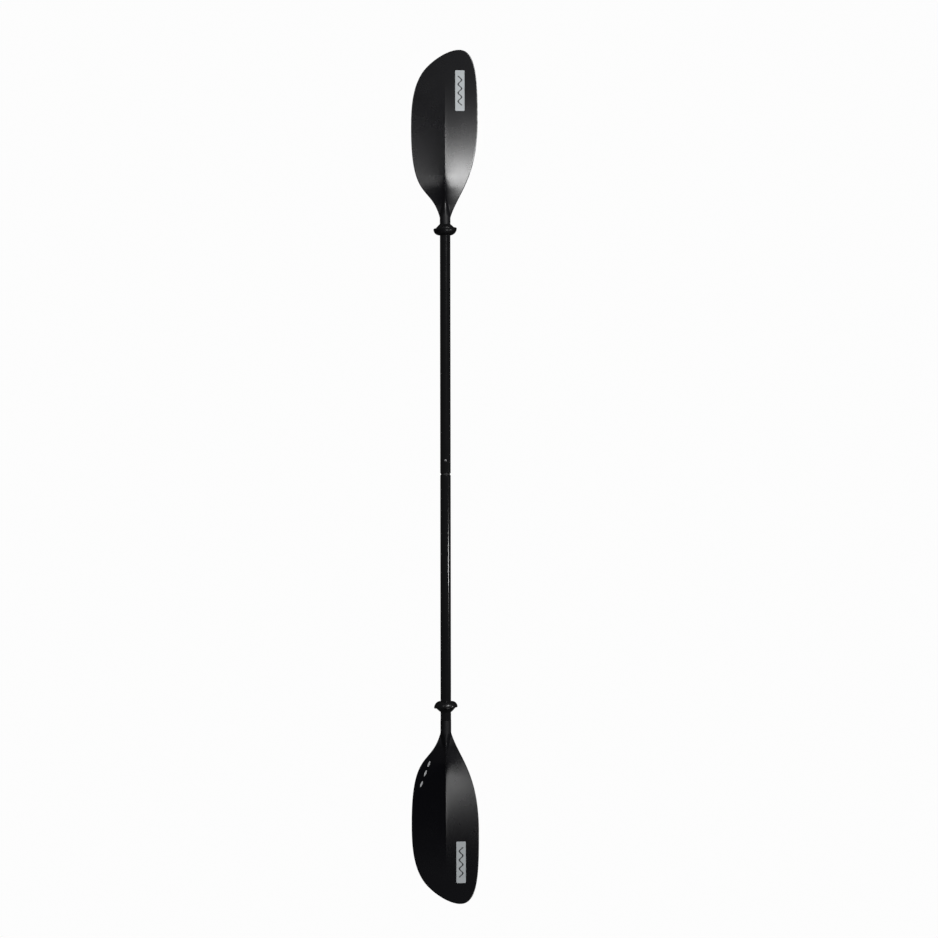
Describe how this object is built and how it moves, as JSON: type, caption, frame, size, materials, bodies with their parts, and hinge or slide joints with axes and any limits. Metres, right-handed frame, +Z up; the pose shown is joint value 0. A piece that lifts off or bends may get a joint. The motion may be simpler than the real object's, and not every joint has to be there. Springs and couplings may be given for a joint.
{
  "type": "kayak paddle",
  "caption": "Two-piece kayak paddle with asymmetric dihedral blades, a round push-button shaft joint and sliding drip rings.",
  "frame": {"origin": "on the shaft's axis at the middle of the joint between the two halves", "axes": "+Z up the shaft towards the upper blade; -Y is the side that the power faces and the button look to; +X is towards the blades' longer edges"},
  "size_m": [0.1794, 0.0624, 2.286],
  "materials": {
    "coated_tube": "smooth gloss black coating on drawn tube",
    "blade_plastic": "fine satin moulded black, slightly fibrous",
    "ring_rubber": "soft satin black rubber",
    "seal_rubber": "matte black rubber",
    "ferrule_plastic": "satin black moulded",
    "spring_steel": "plain stainless strip with a turned stud",
    "pin_metal": "dark anodised",
    "bung_foam": "closed-cell foam, grey",
    "sticker_film": "pale printed film, satin"
  },
  "bodies": {
    "lower_half": {"shaft_lower": "coated_tube", "blade_lower": "blade_plastic", "blade_pin_lower": "pin_metal", "ferrule": "ferrule_plastic", "ferrule_cap": "ferrule_plastic", "ferrule_rivet_1": "pin_metal", "ferrule_rivet_2": "pin_metal", "tube_bung_lower": "bung_foam", "label_lower": "sticker_film"},
    "joint_turn": {"joint_seal": "seal_rubber"},
    "upper_half": {"shaft_upper": "coated_tube", "blade_upper": "blade_plastic", "blade_pin_upper": "pin_metal", "tube_bung_upper": "bung_foam", "label_upper": "sticker_film"},
    "button": {"snap_button": "spring_steel"},
    "ring_upper": {"drip_ring_upper": "ring_rubber"},
    "ring_lower": {"drip_ring_lower": "ring_rubber"}
  },
  "joints": [
    {"name": "feather", "type": "hinge", "parent": "lower_half", "child": "joint_turn", "pos_m": [0, 0, 0], "axis": [0, 0, 1], "range_deg": [-60, 60]},
    {"name": "pull_apart", "type": "slide", "parent": "joint_turn", "child": "upper_half", "axis": [0, 0, 1], "range_m": [0, 0.15]},
    {"name": "button_press", "type": "slide", "parent": "lower_half", "child": "button", "axis": [0, 1, 0], "range_m": [0, 0.0036], "stiffness_N_per_m": 1500, "springref_m": -0.0015, "deforming": ["snap_button"]},
    {"name": "ring_slide_upper", "type": "slide", "parent": "upper_half", "child": "ring_upper", "axis": [0, 0, 1], "range_m": [-0.55, 0.013]},
    {"name": "ring_slide_lower", "type": "slide", "parent": "lower_half", "child": "ring_lower", "axis": [0, 0, 1], "range_m": [-0.045, 0.525]}
  ]
}
